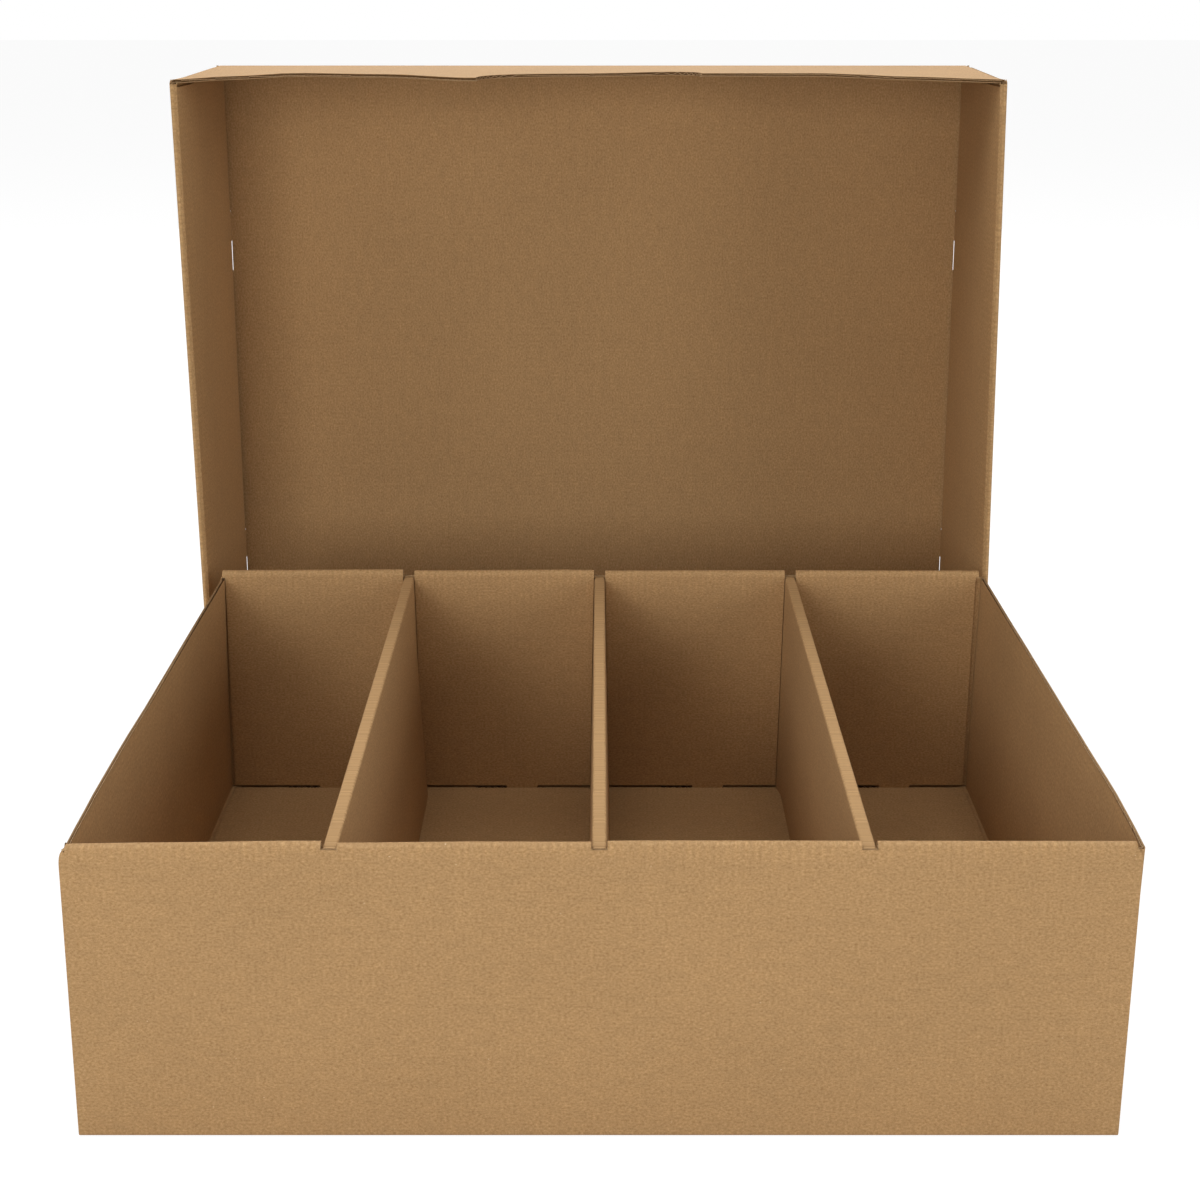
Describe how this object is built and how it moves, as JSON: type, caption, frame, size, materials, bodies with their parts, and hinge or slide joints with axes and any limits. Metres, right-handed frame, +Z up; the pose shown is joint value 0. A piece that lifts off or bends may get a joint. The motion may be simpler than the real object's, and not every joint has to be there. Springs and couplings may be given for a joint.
{
  "type": "bottle shipping box",
  "caption": "Open corrugated tray with folded dividers that part it into compartments for bottles lying side by side, and its lift-off lid standing behind it.",
  "frame": {"origin": "centre of the tray's underside, on the surface that tray and lid stand on", "axes": "+X across the bottles, +Y along them from the tray's front wall to the lid behind it, +Z up"},
  "size_m": [0.3734, 0.4424, 0.3364],
  "materials": {
    "tray_board": "matt brown kraft liner over a fine flute",
    "divider_board": "matt brown kraft liner over a fine flute",
    "lid_board": "matt brown kraft liner over a fine flute"
  },
  "bodies": {
    "root": {"base_tray": "tray_board", "divider_left": "divider_board", "divider_middle": "divider_board", "divider_right": "divider_board", "lid": "lid_board"}
  },
  "joints": []
}
